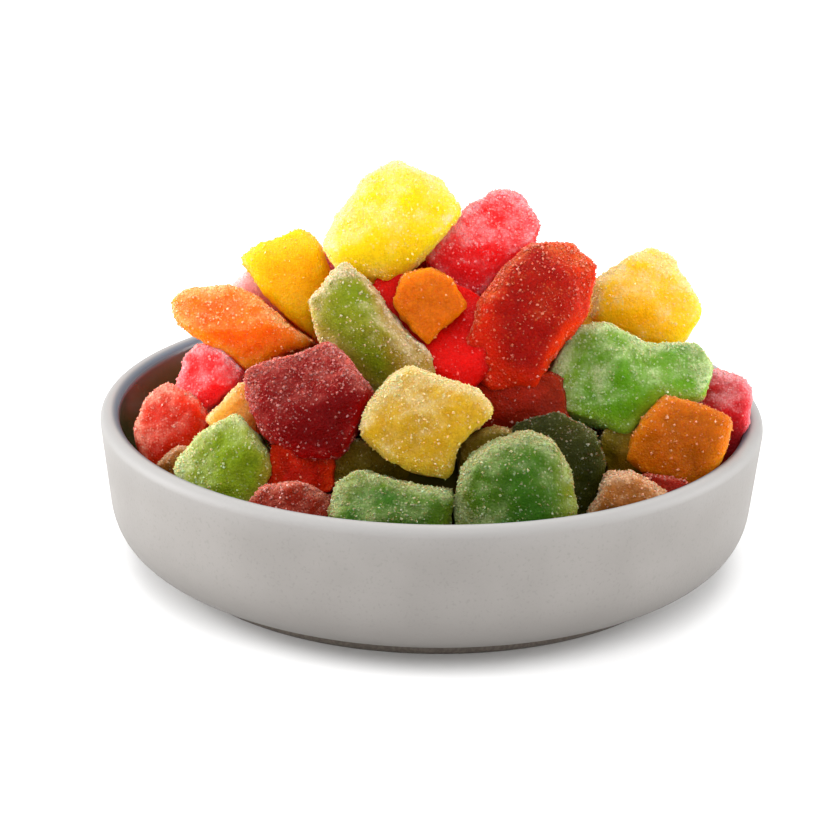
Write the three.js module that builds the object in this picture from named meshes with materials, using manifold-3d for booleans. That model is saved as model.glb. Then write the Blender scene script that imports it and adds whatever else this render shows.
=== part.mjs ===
// A shallow stoneware bowl heaped with sugared fruit jelly cubes.
// Millimetres, +Z up. The foot stands on z = 0, the bowl's axis is the Z axis,
// and the heap's show side faces -Y.
import * as THREE from "three";
import { mergeVertices } from "three/addons/utils/BufferGeometryUtils.js";
import Module from "manifold-3d";

const wasm = await Module();
wasm.setup();

// Bowl: driving sizes
const BOWL_RADIUS = 77.5;
const BOWL_HEIGHT = 36;
const LIP_THICKNESS = 4.6;
const WALL_FLARE = 2.1;
const WALL_START = 15;
const FOOT_RADIUS = 62.5;
const FOOT_HEIGHT = 3.2;
const FOOT_WIDTH = 6;
const FOOT_BEVEL = 0.9;
const FOOT_RECESS = 1.6;
const FOOT_STEP = 0.9;
const BELLY_RISE = 1.6;
const BELLY_INSET = 1.2;
const FLOOR_HEIGHT = 8.5;
const FLOOR_RADIUS = 54;
const INNER_CURVE_RISE = 4;
const INNER_CURVE_INSET = 2;
const BOWL_SEGMENTS = 64;
const CURVE_STEPS = 4;

// Heap: driving sizes
const GAP = 0.3;
const LEAN_BACK = 20;
const EDGE_SQUARENESS = 5;
const CORNER_CUT = 0.09;
const JELLY_RINGS = 5;
const FACES = 3;
const FACE_SLOPE = [0.3, 0.8];
const FACE_START = [0, 4];
const FACE_DEPTH = 0.94;
const CORE_RADIUS = 47;
const CORE_SHOULDER = [50, 26];
const CORE_CROWN = [33, 44];
const CORE_TOP = 66;
const CORE_SEGMENTS = 24;
const HEAP_CEILING = 120;
const SMALLEST_STEP = 0.15;
const SEED = 7;

// The jelly cubes on the show side. at is the middle of a cube, depth its thickness from
// front to back, and corners its outline as seen from the front: steps to the right and
// up from the middle, anticlockwise. faces are the flat faces cut on its front, each with
// the bearing in which it slopes back, in degrees anticlockwise from the right, its slope,
// and how far from the middle it starts. A cube without them gets faces drawn at random.
const SHOWN_JELLIES = [
  { name: "lemon_top", at: [-10, 0, 79], depth: 28,
    faces: [[135, 0.55, 3], [40, 0.5, 4], [270, 0.23, 5]],
    corners: [[1, 15], [-7, 10], [-12, 2], [-16, -5], [-11, -11], [0, -14], [8, -7], [16, 3], [11, 10]] },
  { name: "raspberry_top", at: [11, 6, 73], depth: 24,
    faces: [[75, 0.6, 0], [255, 0.25, 2], [0, 0.6, 8]],
    corners: [[4, 13], [-3, 9], [-9, 3], [-13, -4], [-8, -10], [-1, -13], [6, -5], [12, 1], [13, 5],
      [9, 11]] },
  { name: "blood_orange", at: [21, -14, 62], depth: 26,
    faces: [[80, 0.9, 10], [0, 0.9, 9], [230, 0.25, 6]],
    corners: [[10, 17], [1, 17], [-5, 11], [-11, 3], [-15, -9], [-8, -17], [2, -17], [8, -6], [14, 1],
      [15, 12]] },
  { name: "gold_right", at: [50, 14, 58], depth: 24,
    faces: [[63, 0.65, -1], [243, 0.15, 3], [0, 0.6, 8]],
    corners: [[1, 12], [-5, 9], [-12, 4], [-13, -5], [-1, -11], [5, -12], [10, -9], [13, -3], [10, 4],
      [6, 10]] },
  { name: "green_wing", at: [44, -16, 48], depth: 24,
    faces: [[150, 0.4, 4], [60, 0.6, 2], [300, 0.25, 5]],
    corners: [[16, 9], [5, 8], [-4, 13], [-12, 12], [-19, -1], [-20, -5], [-11, -9], [0, -13], [7, -6],
      [17, -4], [20, 3]] },
  { name: "amber_right", at: [55, -26, 37], depth: 22,
    faces: [[200, 0.5, 5], [75, 0.5, 6], [320, 0.2, 5]],
    corners: [[5, 9], [-4, 11], [-9, 4], [-12, -4], [-6, -7], [3, -11], [9, -7], [12, 0], [12, 6]] },
  { name: "raspberry_right", at: [64, -2, 38], depth: 30,
    corners: [[8, 6], [0, 8], [-9, 7], [-11, -5], [-5, -15], [4, -17], [9, -9], [10, 3]] },
  { name: "caramel_right", at: [44, -42, 27], depth: 27,
    corners: [[1, 8], [-5, 8], [-9, 0], [-9, -8], [2, -9], [9, -4], [8, 4]] },
  { name: "green_front", at: [18, -49, 34], depth: 30,
    faces: [[90, 0.8, 6], [190, 0.7, 7], [0, 0.7, 8]],
    corners: [[8, 11], [3, 13], [-5, 10], [-11, 5], [-13, -4], [-12, -13], [12, -12], [14, -3], [12, 5]] },
  { name: "honey_front", at: [-1, -40, 46], depth: 22,
    faces: [[110, 0.4, 4], [0, 0.5, 6], [240, 0.2, 5]],
    corners: [[3, 10], [-4, 12], [-8, 10], [-13, 4], [-15, -3], [-9, -8], [0, -12], [5, -12], [7, -5],
      [11, -1], [15, 3], [11, 7]] },
  { name: "burgundy", at: [-27, -34, 48], depth: 26,
    faces: [[105, 0.7, 0], [300, 0.23, 2], [200, 0.6, 7]],
    corners: [[4, 13], [-5, 10], [-14, 7], [-14, 1], [-10, -8], [-2, -13], [7, -12], [11, -6],
      [14, 2], [9, 9]] },
  { name: "olive", at: [-13, -18, 61], depth: 24,
    faces: [[45, 0.7, 1], [225, 0.7, 0], [135, 0.5, 9]],
    corners: [[-7, 14], [-11, 10], [-15, 5], [-13, -2], [-9, -12], [4, -18], [15, -13], [15, -9], [7, -2],
      [-2, 10]] },
  { name: "orange_left", at: [-44, -2, 54], depth: 24,
    faces: [[95, 0.9, 1], [270, 0.2, 3], [200, 0.4, 8]],
    corners: [[-3, 10], [-14, 9], [-17, 6], [-15, 1], [-7, -4], [2, -10], [10, -5], [17, -3], [10, 2],
      [4, 7]] },
  { name: "amber_top", at: [-34, 8, 62], depth: 24,
    faces: [[100, 0.9, 7], [350, 0.6, 6], [230, 0.25, 6]],
    corners: [[3, 13], [-7, 9], [-11, 6], [-8, 1], [0, -8], [7, -13], [11, -4], [10, 3], [7, 10]] },
  { name: "orange_middle", at: [-1, -20, 66], depth: 16,
    corners: [[5, 7], [0, 9], [-6, 7], [-8, 1], [-4, -5], [0, -9], [4, -4], [8, 1]] },
  { name: "pink_left", at: [-51, -8, 44], depth: 20,
    faces: [[140, 0.7, -1], [300, 0.25, 2], [30, 0.5, 4]],
    corners: [[3, 7], [-3, 8], [-6, 5], [-8, -2], [-6, -8], [-1, -8], [7, -1], [8, 2]] },
  { name: "tomato_left", at: [-59, -14, 34], depth: 22,
    faces: [[130, 0.6, 1], [290, 0.2, 3], [20, 0.5, 4]],
    corners: [[-2, 10], [-7, 6], [-9, -2], [-6, -10], [2, -10], [9, 1], [6, 7]] },
  { name: "peach_left", at: [-44, -24, 42], depth: 18,
    corners: [[1, 7], [-6, -2], [-3, -7], [5, -6], [6, 0]] },
  { name: "lime_left", at: [-45, -36, 33], depth: 29,
    faces: [[140, 0.6, 0], [320, 0.3, 2], [250, 0.25, 6]],
    corners: [[2, 12], [-6, 7], [-11, 1], [-11, -8], [-2, -12], [9, -7], [11, 0], [7, 7]] },
  { name: "tan_left", at: [-57, -26, 29], depth: 12,
    corners: [[0, 5], [-5, 0], [-3, -3], [4, -5], [5, 3]] },
  { name: "vermilion_low", at: [-29, -40, 34], depth: 18,
    corners: [[7, 5], [-6, 7], [-8, -2], [-2, -7], [8, -4]] },
  { name: "garnet_front", at: [-31, -51, 28], depth: 26,
    corners: [[4, 7], [-5, 6], [-10, 1], [-6, -8], [7, -8], [10, 3]] },
  { name: "green_low", at: [-9, -54, 30], depth: 27,
    faces: [[95, 0.8, 0], [275, 0.2, 4], [0, 0.5, 8]],
    corners: [[1, 7], [-7, 9], [-11, 6], [-13, 0], [-10, -9], [3, -10], [13, -4], [14, 5]] },
  { name: "olive_low", at: [-14, -36, 34], depth: 18,
    corners: [[7, 6], [-5, 6], [-10, -3], [-3, -6], [10, -5]] },
  { name: "bottle_green", at: [27, -38, 34], depth: 20,
    corners: [[1, 13], [-8, 11], [-12, 4], [-7, -7], [2, -13], [8, -9], [12, 2], [9, 9]] },
  { name: "olive_middle", at: [13, -38, 38], depth: 16,
    corners: [[0, 6], [-6, 3], [-9, -13], [4, -13], [7, 5]] },
  { name: "cherry_middle", at: [-1, -17, 61], depth: 22,
    faces: [[90, 0.6, -8], [0, 0.4, 8], [200, 0.3, 8]],
    corners: [[-2, 12], [-13, 10], [-8, -8], [9, -17], [15, -8], [12, 7]] },
  { name: "cherry_low", at: [20, -22, 44], depth: 20,
    corners: [[9, 7], [-12, 9], [-12, -5], [0, -9], [11, -4]] },
  { name: "pink_back", at: [-41, 14, 56], depth: 22,
    corners: [[2, 7], [-3, 7], [-7, 2], [-6, -7], [6, -8], [8, 0]] },
  { name: "brown_middle", at: [45, -24, 34], depth: 20,
    corners: [[3, 7], [-6, 6], [-7, 0], [-5, -6], [3, -7], [7, 0]] },
  { name: "garnet_right", at: [52, -38, 30], depth: 16,
    corners: [[5, 2], [-4, 4], [-6, -1], [-1, -4], [6, -3]] },
];

// The jelly cubes that finish the far side, in rows round the bowl's axis. Angles are in
// degrees from +X, and each cube faces outwards.
const BACK_ROWS = [
  { count: 7, radius: 58, height: 26, from: 14, to: 148 },
  { count: 5, radius: 41, height: 46, from: 24, to: 148 },
  { count: 3, radius: 23, height: 61, from: 55, to: 140 },
];
const BACK_CORNERS = 6;
const BACK_REACH = [11, 15.5];
const BACK_DEPTH = [20, 25];

const stoneware = new THREE.MeshStandardMaterial({ color: 0xd6d1ca, roughness: 0.75, metalness: 0 });
const jelly = new THREE.MeshStandardMaterial({ color: 0xc8741f, roughness: 0.55, metalness: 0 });

// The profile of the bowl's outside, from the middle of the underside up to the lip.
function outsidePath() {
  const path = new THREE.Path();
  path.moveTo(0, FOOT_RECESS);
  path.lineTo(FOOT_RADIUS - FOOT_WIDTH - FOOT_RECESS, FOOT_RECESS);
  path.lineTo(FOOT_RADIUS - FOOT_WIDTH, 0);
  path.lineTo(FOOT_RADIUS - FOOT_BEVEL, 0);
  path.lineTo(FOOT_RADIUS, FOOT_BEVEL);
  path.lineTo(FOOT_RADIUS, FOOT_HEIGHT);
  path.lineTo(FOOT_RADIUS + FOOT_STEP, FOOT_HEIGHT);
  const wallFoot = BOWL_RADIUS - WALL_FLARE;
  path.quadraticCurveTo(wallFoot - BELLY_INSET, FOOT_HEIGHT + BELLY_RISE, wallFoot, WALL_START);
  const lipRadius = LIP_THICKNESS / 2;
  path.lineTo(BOWL_RADIUS, BOWL_HEIGHT - lipRadius);
  path.absarc(BOWL_RADIUS - lipRadius, BOWL_HEIGHT - lipRadius, lipRadius, 0, Math.PI / 2);
  return path;
}

// The profile of the bowl's inside, from the lip down to the middle of the floor. clearance
// moves it off the clay, into the hollow.
function insidePath(clearance) {
  const lipRadius = LIP_THICKNESS / 2;
  const wallTop = BOWL_RADIUS - LIP_THICKNESS;
  const wallFoot = wallTop - WALL_FLARE;
  const floor = FLOOR_HEIGHT + clearance;
  const path = new THREE.Path();
  path.moveTo(BOWL_RADIUS - lipRadius, BOWL_HEIGHT + clearance);
  path.absarc(BOWL_RADIUS - lipRadius, BOWL_HEIGHT - lipRadius, lipRadius + clearance, Math.PI / 2, Math.PI);
  path.lineTo(wallFoot - clearance, WALL_START + INNER_CURVE_RISE);
  path.quadraticCurveTo(wallFoot - INNER_CURVE_INSET - clearance, floor, FLOOR_RADIUS, floor);
  path.lineTo(0, floor);
  return path;
}

// A lathe turns about +Y; this stands its axis up along +Z.
function turned(points, segments) {
  const geometry = new THREE.LatheGeometry(points, segments);
  geometry.rotateX(Math.PI / 2);
  return geometry;
}

function bowlGeometry() {
  const inside = insidePath(0).getPoints(CURVE_STEPS).slice(1);
  return turned([...outsidePath().getPoints(CURVE_STEPS), ...inside], BOWL_SEGMENTS);
}

// The space that the heap may fill: the bowl's hollow, and the air above the lip as wide
// as the bowl.
function heapSpaceGeometry() {
  const widest = BOWL_RADIUS - GAP;
  const hollow = insidePath(GAP).getPoints(CURVE_STEPS).reverse();
  const above = [
    new THREE.Vector2(widest, BOWL_HEIGHT + GAP),
    new THREE.Vector2(widest, HEAP_CEILING),
    new THREE.Vector2(0, HEAP_CEILING),
  ];
  return turned([...hollow, ...above], BOWL_SEGMENTS);
}

// The buried middle of the heap, a dome under the cubes that show.
function coreGeometry() {
  const floor = FLOOR_HEIGHT + GAP;
  const path = new THREE.Path();
  path.moveTo(0, floor);
  path.lineTo(CORE_RADIUS, floor);
  path.lineTo(...CORE_SHOULDER);
  path.quadraticCurveTo(...CORE_CROWN, 0, CORE_TOP);
  return turned(path.getPoints(CURVE_STEPS), CORE_SEGMENTS);
}

// A repeatable stream of even draws between a low and a high value.
function seededDraws(seed) {
  let state = seed * 7919 + 104729;
  return ([low, high]) => {
    state = (state * 48271) % 2147483647;
    return low + (high - low) * state / 2147483647;
  };
}

function flatFace(bearing, slope, start) {
  return { right: Math.cos(bearing), up: Math.sin(bearing), slope, start };
}

function drawnFaces(seed) {
  const draw = seededDraws(seed);
  const faces = [];
  for (let number = 0; number < FACES; number += 1) {
    const bearing = 2 * Math.PI * (number + draw([0, 1])) / FACES;
    const slope = draw(FACE_SLOPE);
    faces.push(flatFace(bearing, slope, draw(FACE_START)));
  }
  return faces;
}

function facesOf({ faces, seed }) {
  if (!faces) {
    return drawnFaces(seed);
  }
  return faces.map(([bearing, slope, start]) => flatFace(THREE.MathUtils.degToRad(bearing), slope, start));
}

// Where a point of a cube lies from front to back: on the squared-off curve or, in the
// front half, on the flat face that cuts it back furthest.
function depthAt(x, z, round, depth, faces) {
  if (round >= 0) {
    return round;
  }
  const cuts = faces.map((face) => face.slope * (face.right * x + face.up * z - face.start));
  const cut = Math.max(...cuts) - FACE_DEPTH * depth / 2;
  return Math.min(Math.max(round, cut), 0);
}

// The outline of a cube: straight sides, with a small share of each cut off at the corners.
function outlineOf(corners) {
  const outline = [];
  corners.forEach((corner, number) => {
    const start = new THREE.Vector2(...corner);
    const end = new THREE.Vector2(...corners[(number + 1) % corners.length]);
    outline.push(start.clone().lerp(end, CORNER_CUT), end.clone().lerp(start, CORNER_CUT));
  });
  return outline;
}

// A soft cube: its outline is drawn in to a point at the front and at the back along a
// squared-off curve, with flat faces cut on the front.
function jellyGeometry(row) {
  const { depth, corners } = row;
  const faces = facesOf(row);
  const outline = outlineOf(corners);
  const sides = outline.length;
  const positions = [0, depthAt(0, 0, -depth / 2, depth, faces), 0];
  for (let ring = 1; ring <= JELLY_RINGS; ring += 1) {
    const angle = Math.PI * (ring / (JELLY_RINGS + 1) - 0.5);
    const reach = Math.cos(angle) ** (2 / EDGE_SQUARENESS);
    const along = Math.sign(angle) * Math.abs(Math.sin(angle)) ** (2 / EDGE_SQUARENESS);
    for (const point of outline) {
      const x = point.x * reach;
      const z = point.y * reach;
      positions.push(x, depthAt(x, z, along * depth / 2, depth, faces), z);
    }
  }
  const back = positions.length / 3;
  positions.push(0, depth / 2, 0);
  const index = [];
  for (let side = 0; side < sides; side += 1) {
    const next = (side + 1) % sides;
    index.push(0, 1 + side, 1 + next);
    for (let ring = 0; ring < JELLY_RINGS - 1; ring += 1) {
      const near = 1 + ring * sides;
      const far = near + sides;
      index.push(near + side, far + next, near + next);
      index.push(near + side, far + side, far + next);
    }
    const last = 1 + (JELLY_RINGS - 1) * sides;
    index.push(last + side, back, last + next);
  }
  const geometry = new THREE.BufferGeometry();
  geometry.setAttribute("position", new THREE.Float32BufferAttribute(positions, 3));
  geometry.setIndex(index);
  return geometry;
}

// A cube set down in the heap: it leans back, is turned about the bowl's axis by facing
// degrees and is moved to its place.
function placedJelly(row) {
  const geometry = jellyGeometry(row);
  const turn = new THREE.Euler(
    -THREE.MathUtils.degToRad(LEAN_BACK),
    0,
    THREE.MathUtils.degToRad(row.facing ?? 0),
    "ZXY",
  );
  const place = new THREE.Matrix4().makeRotationFromEuler(turn);
  place.setPosition(...row.at);
  geometry.applyMatrix4(place);
  return geometry;
}

function backJellies() {
  const draw = seededDraws(SEED);
  const rows = [];
  for (const { count, radius, height, from, to } of BACK_ROWS) {
    for (let number = 0; number < count; number += 1) {
      const angle = from + (to - from) * number / (count - 1);
      const radians = THREE.MathUtils.degToRad(angle);
      const turn = draw([0, 1]);
      const corners = [];
      for (let corner = 0; corner < BACK_CORNERS; corner += 1) {
        const bearing = 2 * Math.PI * (corner + turn) / BACK_CORNERS;
        const reach = draw(BACK_REACH);
        corners.push([reach * Math.cos(bearing), reach * Math.sin(bearing)]);
      }
      rows.push({
        at: [radius * Math.cos(radians), radius * Math.sin(radians), height],
        depth: draw(BACK_DEPTH),
        corners,
        facing: angle + 90,
      });
    }
  }
  return rows;
}

function toSolid(geometry) {
  const bare = geometry.clone();
  bare.deleteAttribute("normal");
  bare.deleteAttribute("uv");
  const merged = mergeVertices(bare, 1e-4);
  const mesh = new wasm.Mesh({
    numProp: 3,
    vertProperties: new Float32Array(merged.attributes.position.array),
    triVerts: new Uint32Array(merged.index.array),
  });
  mesh.merge();
  return new wasm.Manifold(mesh);
}

function toGeometry(solid) {
  const mesh = solid.getMesh();
  const geometry = new THREE.BufferGeometry();
  geometry.setAttribute("position", new THREE.BufferAttribute(mesh.vertProperties, 3));
  geometry.setIndex(new THREE.BufferAttribute(mesh.triVerts, 1));
  geometry.computeVertexNormals();
  return geometry;
}

// The heap: the core with the cubes fused on, kept off the clay. Only the outer body is
// kept, so a pocket shut in between cubes is filled.
function heapGeometry() {
  let heap = toSolid(coreGeometry());
  [...SHOWN_JELLIES, ...backJellies()].forEach((row, number) => {
    heap = heap.add(toSolid(placedJelly({ ...row, seed: SEED + number })));
  });
  heap = heap.intersect(toSolid(heapSpaceGeometry()));
  const bodies = heap.decompose().sort((a, b) => b.volume() - a.volume());
  return toGeometry(bodies[0].simplify(SMALLEST_STEP));
}

const part = new THREE.Group();
part.name = "bowl_of_jelly_cubes";

const bowlMesh = new THREE.Mesh(bowlGeometry(), stoneware);
bowlMesh.name = "bowl";
part.add(bowlMesh);

const heapMesh = new THREE.Mesh(heapGeometry(), jelly);
heapMesh.name = "jelly_heap";
part.add(heapMesh);

export default part;
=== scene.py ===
# A shallow stoneware bowl heaped with sugared fruit jelly cubes.
# The frame is the solids' own: +Z up, the bowl's axis on Z, the show side towards -Y.
# Sizes and places are in millimetres and go to metres where a mesh, lamp or camera is made.
import functools
import math

import bpy
import numpy as np
from mathutils import Matrix, Vector, noise


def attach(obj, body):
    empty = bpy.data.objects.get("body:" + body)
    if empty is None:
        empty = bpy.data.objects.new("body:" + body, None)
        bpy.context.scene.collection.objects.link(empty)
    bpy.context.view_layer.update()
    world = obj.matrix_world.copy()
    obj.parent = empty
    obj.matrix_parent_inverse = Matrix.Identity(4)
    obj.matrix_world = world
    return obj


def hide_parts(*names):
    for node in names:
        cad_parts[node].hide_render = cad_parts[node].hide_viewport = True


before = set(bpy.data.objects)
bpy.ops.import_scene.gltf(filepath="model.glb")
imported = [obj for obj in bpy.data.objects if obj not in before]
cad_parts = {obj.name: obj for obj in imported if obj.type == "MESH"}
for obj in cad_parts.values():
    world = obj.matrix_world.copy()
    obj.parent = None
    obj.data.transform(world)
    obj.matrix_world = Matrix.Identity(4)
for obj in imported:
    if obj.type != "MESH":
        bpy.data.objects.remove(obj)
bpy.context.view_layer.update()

MM = 0.001
SEED = 7
# Keeps a division from failing where a length is nought.
TINY = 1e-9

# Bowl
BOWL_RADIUS = 77.5
BOWL_HEIGHT = 36
LIP_THICKNESS = 4.6
LIP_RADIUS = LIP_THICKNESS / 2
WALL_FLARE = 2.1
WALL_START = 15
FOOT_RADIUS = 62.5
FOOT_HEIGHT = 3.2
FOOT_WIDTH = 6
FOOT_BEVEL = 0.9
FOOT_RECESS = 1.6
FOOT_STEP = 0.9
BELLY_RISE = 1.6
BELLY_INSET = 1.2
FLOOR_HEIGHT = 8.5
FLOOR_RADIUS = 54
FLOOR_MIDDLE = 1.0
INNER_CURVE_RISE = 4
INNER_CURVE_INSET = 2
BOWL_SEGMENTS = 160
CURVE_STEPS = 14
SLOPE_STEPS = 2
FOOT_STEPS = 3
# Bands of glaze round the lip, in profile points inwards from its top: where each starts, is
# full, begins to fade and ends.
INNER_GLAZE = (0, CURVE_STEPS)
LIP_LINE = (-1, 5, 5, 17)
# The crest: paler glaze and painted highlight where light falls on the lip's top.
LIP_CREST_GLAZE_AND_HIGHLIGHT = (-20, -8, -1, 4)
# Heights between which the bare clay of the foot and the painted shade darkening the belly fade out.
BARE_CLAY = (FOOT_HEIGHT - 0.2, FOOT_HEIGHT + 2.5)
BELLY_PAINTED_SHADE = (FOOT_HEIGHT, WALL_START + 6)

# Heap
GAP = 0.3
LEAN_BACK = 20
SHOWN_STEPS = 28
BACK_STEPS = 16
CORE_RADIUS = 47
CORE_SHOULDER = (50, 26)
CORE_CROWN = (33, 44)
CORE_TOP = 66
CORE_TIP = 0.5
CORE_SINK = 1.5
CORE_SEGMENTS = 72
CORE_RINGS = 40
CORE_CROWN_STEPS = 24
CORE_LUMP_WIDTH = 8
CORE_LUMP_DEPTH = 0.05

# Form of a cube: its outline, the rounding of its corners in degrees, and the flat faces on its
# front. A face's slope and start are drawn from these ranges where a cube doesn't state them.
EDGE_SQUARENESS = 5
OUTLINE_ANGLES = np.radians(np.arange(360.0))
SIDE_POINTS = 12
CORNER_CUT = 0.09
CORNER_ROUNDING = 1.6
ROUNDING_REACH = 8
FACES = 3
FACE_SLOPE = (0.3, 0.8)
FACE_START = (0, 4)
FACE_DEPTH = 0.94
FACE_BLEND = 0.5
MERGE_DIGITS = 6
# Unevenness of a cube: the width and the height of its lumps.
LUMPS = ((9.0, 0.7), (4.0, 0.5), (1.8, 0.38))
NOISE_SHIFT = (17.3, 5.1, 9.7)
# An edge is where the normals around differ by this much. They are evened out in rounds, one for
# so many steps of the cube's grid.
EDGE_BEND = (0.01, 0.2)
STEPS_PER_ROUND = 7

# Colour over a cube, with painted light in it. Light falls from above and a little from the left;
# the sides facing away are painted brighter, as light shining through, and the rim, as a share of
# its outline, is painted brighter as light through thin jelly. Patches and a slow drift make it uneven.
LIGHT_LEAN = 0.35
LIT = (-0.3, 0.85)
UNLIT = (0, 0.9)
PAINTED_GLOW_RIM = (0.55, 1.02)
THIN_EVERYWHERE = 0.1
PAINTED_GLOW_AT_RIM = 0.5
THIN_IN_PATCHES = 0.2
PATCH_WIDTH = 6.5
PATCH_SEED = 50
DRIFT_WIDTH = 15
DRIFT_SEED = 20
SHINE_THROUGH = 1.4
SHINE_SHARE = 0.5
# Painted glow: how strongly a cube takes its neighbour's colour where they touch, as painted light
# shining through, how far that carries, as a share of the neighbour's size, and how much of the
# light is its own and how much the neighbour's.
GLOW = 0.5
GLOW_REACH = 1.35
GLOW_OWN = 0.5
GLOW_TINT = 0.8
# Where fine sugar coats a cube: on the sides the light falls on, from above and a little from the
# left, where the pale coat is partly sugar and partly painted highlight; on its rim and edges, more
# so where these are lit; and in patches.
COATED_RIM = (0.7, 1.02)
COAT_AND_HIGHLIGHT_WHERE_LIT = 0.45
COAT_ON_RIDGE = 0.25
COAT_AND_HIGHLIGHT_ON_LIT_RIDGE = 0.5
COAT_IN_PATCHES = 0.28
COAT_DRIFT = 0.2
COAT_LIMIT = 1.5

# Each flavour's colours: deep in the jelly, at its thin edges, also used for painted light shining
# through, and where sugar coats it (sRGB).
FLAVOURS = {
    "lemon": ((248, 197, 0), (250, 210, 14), (238, 213, 164)),
    "raspberry": ((250, 9, 11), (252, 60, 66), (250, 160, 164)),
    "blood_orange": ((140, 7, 1), (208, 44, 3), (216, 112, 56)),
    "gold": ((246, 172, 0), (250, 192, 14), (230, 203, 150)),
    "green": ((76, 126, 6), (130, 164, 36), (180, 194, 142)),
    "fern": ((42, 84, 9), (104, 114, 18), (150, 162, 110)),
    # A darker copy of green: painted shade for a cube that lies in shade.
    "shaded_green": ((30, 34, 2), (56, 58, 8), (116, 120, 80)),
    "umber": ((76, 60, 2), (110, 92, 10), (156, 140, 84)),
    "amber": ((254, 166, 0), (255, 180, 4), (246, 186, 76)),
    "honey": ((184, 142, 16), (202, 162, 42), (214, 192, 142)),
    "burgundy": ((98, 1, 1), (152, 4, 3), (182, 92, 80)),
    "olive": ((112, 126, 12), (172, 152, 56), (220, 198, 166)),
    "orange": ((255, 94, 0), (255, 130, 6), (252, 190, 130)),
    "tangerine": ((176, 94, 0), (192, 118, 0), (226, 160, 66)),
    "caramel": ((132, 74, 18), (162, 104, 44), (208, 172, 138)),
    "pink": ((255, 160, 168), (255, 176, 180), (255, 205, 210)),
    "copper": ((158, 76, 0), (206, 112, 2), (212, 150, 78)),
    "garnet": ((112, 14, 2), (150, 36, 8), (190, 114, 92)),
    "tomato": ((184, 24, 2), (206, 60, 18), (224, 150, 128)),
    "peach": ((255, 146, 54), (255, 161, 79), (255, 200, 150)),
    "cherry": ((192, 5, 1), (216, 14, 5), (236, 116, 104)),
    "rose": ((176, 14, 20), (196, 50, 58), (216, 146, 150)),
    "lime": ((106, 126, 8), (150, 158, 48), (194, 200, 146)),
}
BACK_FLAVOURS = ("green", "orange", "raspberry", "lemon", "burgundy", "amber", "olive", "tomato")

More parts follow.
